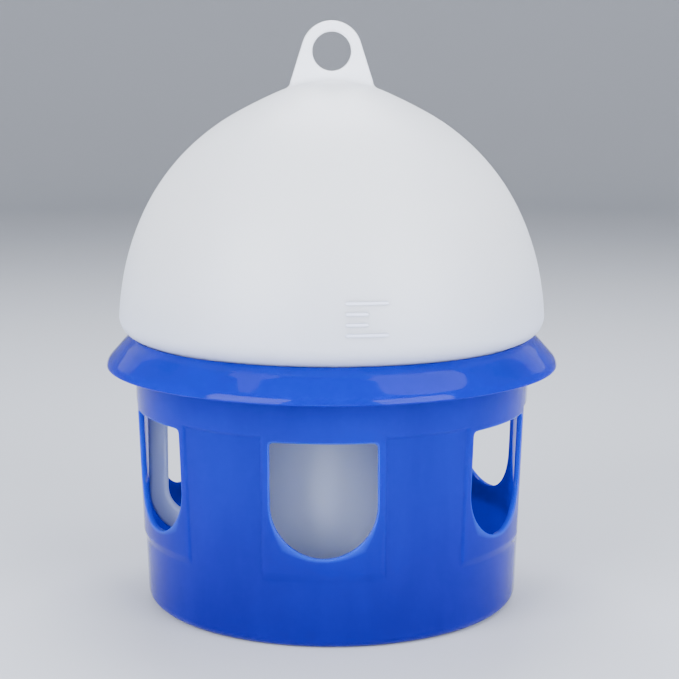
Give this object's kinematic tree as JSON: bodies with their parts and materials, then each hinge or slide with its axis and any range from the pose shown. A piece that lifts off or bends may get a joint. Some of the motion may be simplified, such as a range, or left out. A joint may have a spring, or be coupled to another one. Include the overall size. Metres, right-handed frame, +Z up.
{
  "type": "poultry waterer fount",
  "caption": "Gravity drinker for poultry: a domed white fount with a hanging ring stands mouth down in a blue tub with drinking windows and a sloping skirt.",
  "frame": {"origin": "on the ground under the middle of the drinking base", "axes": "+Z up through the fount's crown; X lies in the fount's moulding plane, with the grip on the -X side; a drinking window faces -Y"},
  "size_m": [0.2196, 0.2196, 0.281],
  "materials": {
    "natural_plastic": "satin, blow moulded, translucent white",
    "blue_plastic": "gloss, injection moulded, slightly translucent blue"
  },
  "bodies": {
    "base": {"drinking_base": "blue_plastic"},
    "fount": {"fount_bottle": "natural_plastic"}
  },
  "joints": [
    {"name": "fount_lift", "type": "slide", "parent": "base", "child": "fount", "axis": [0, 0, 1], "range_m": [0, 0.15]}
  ]
}
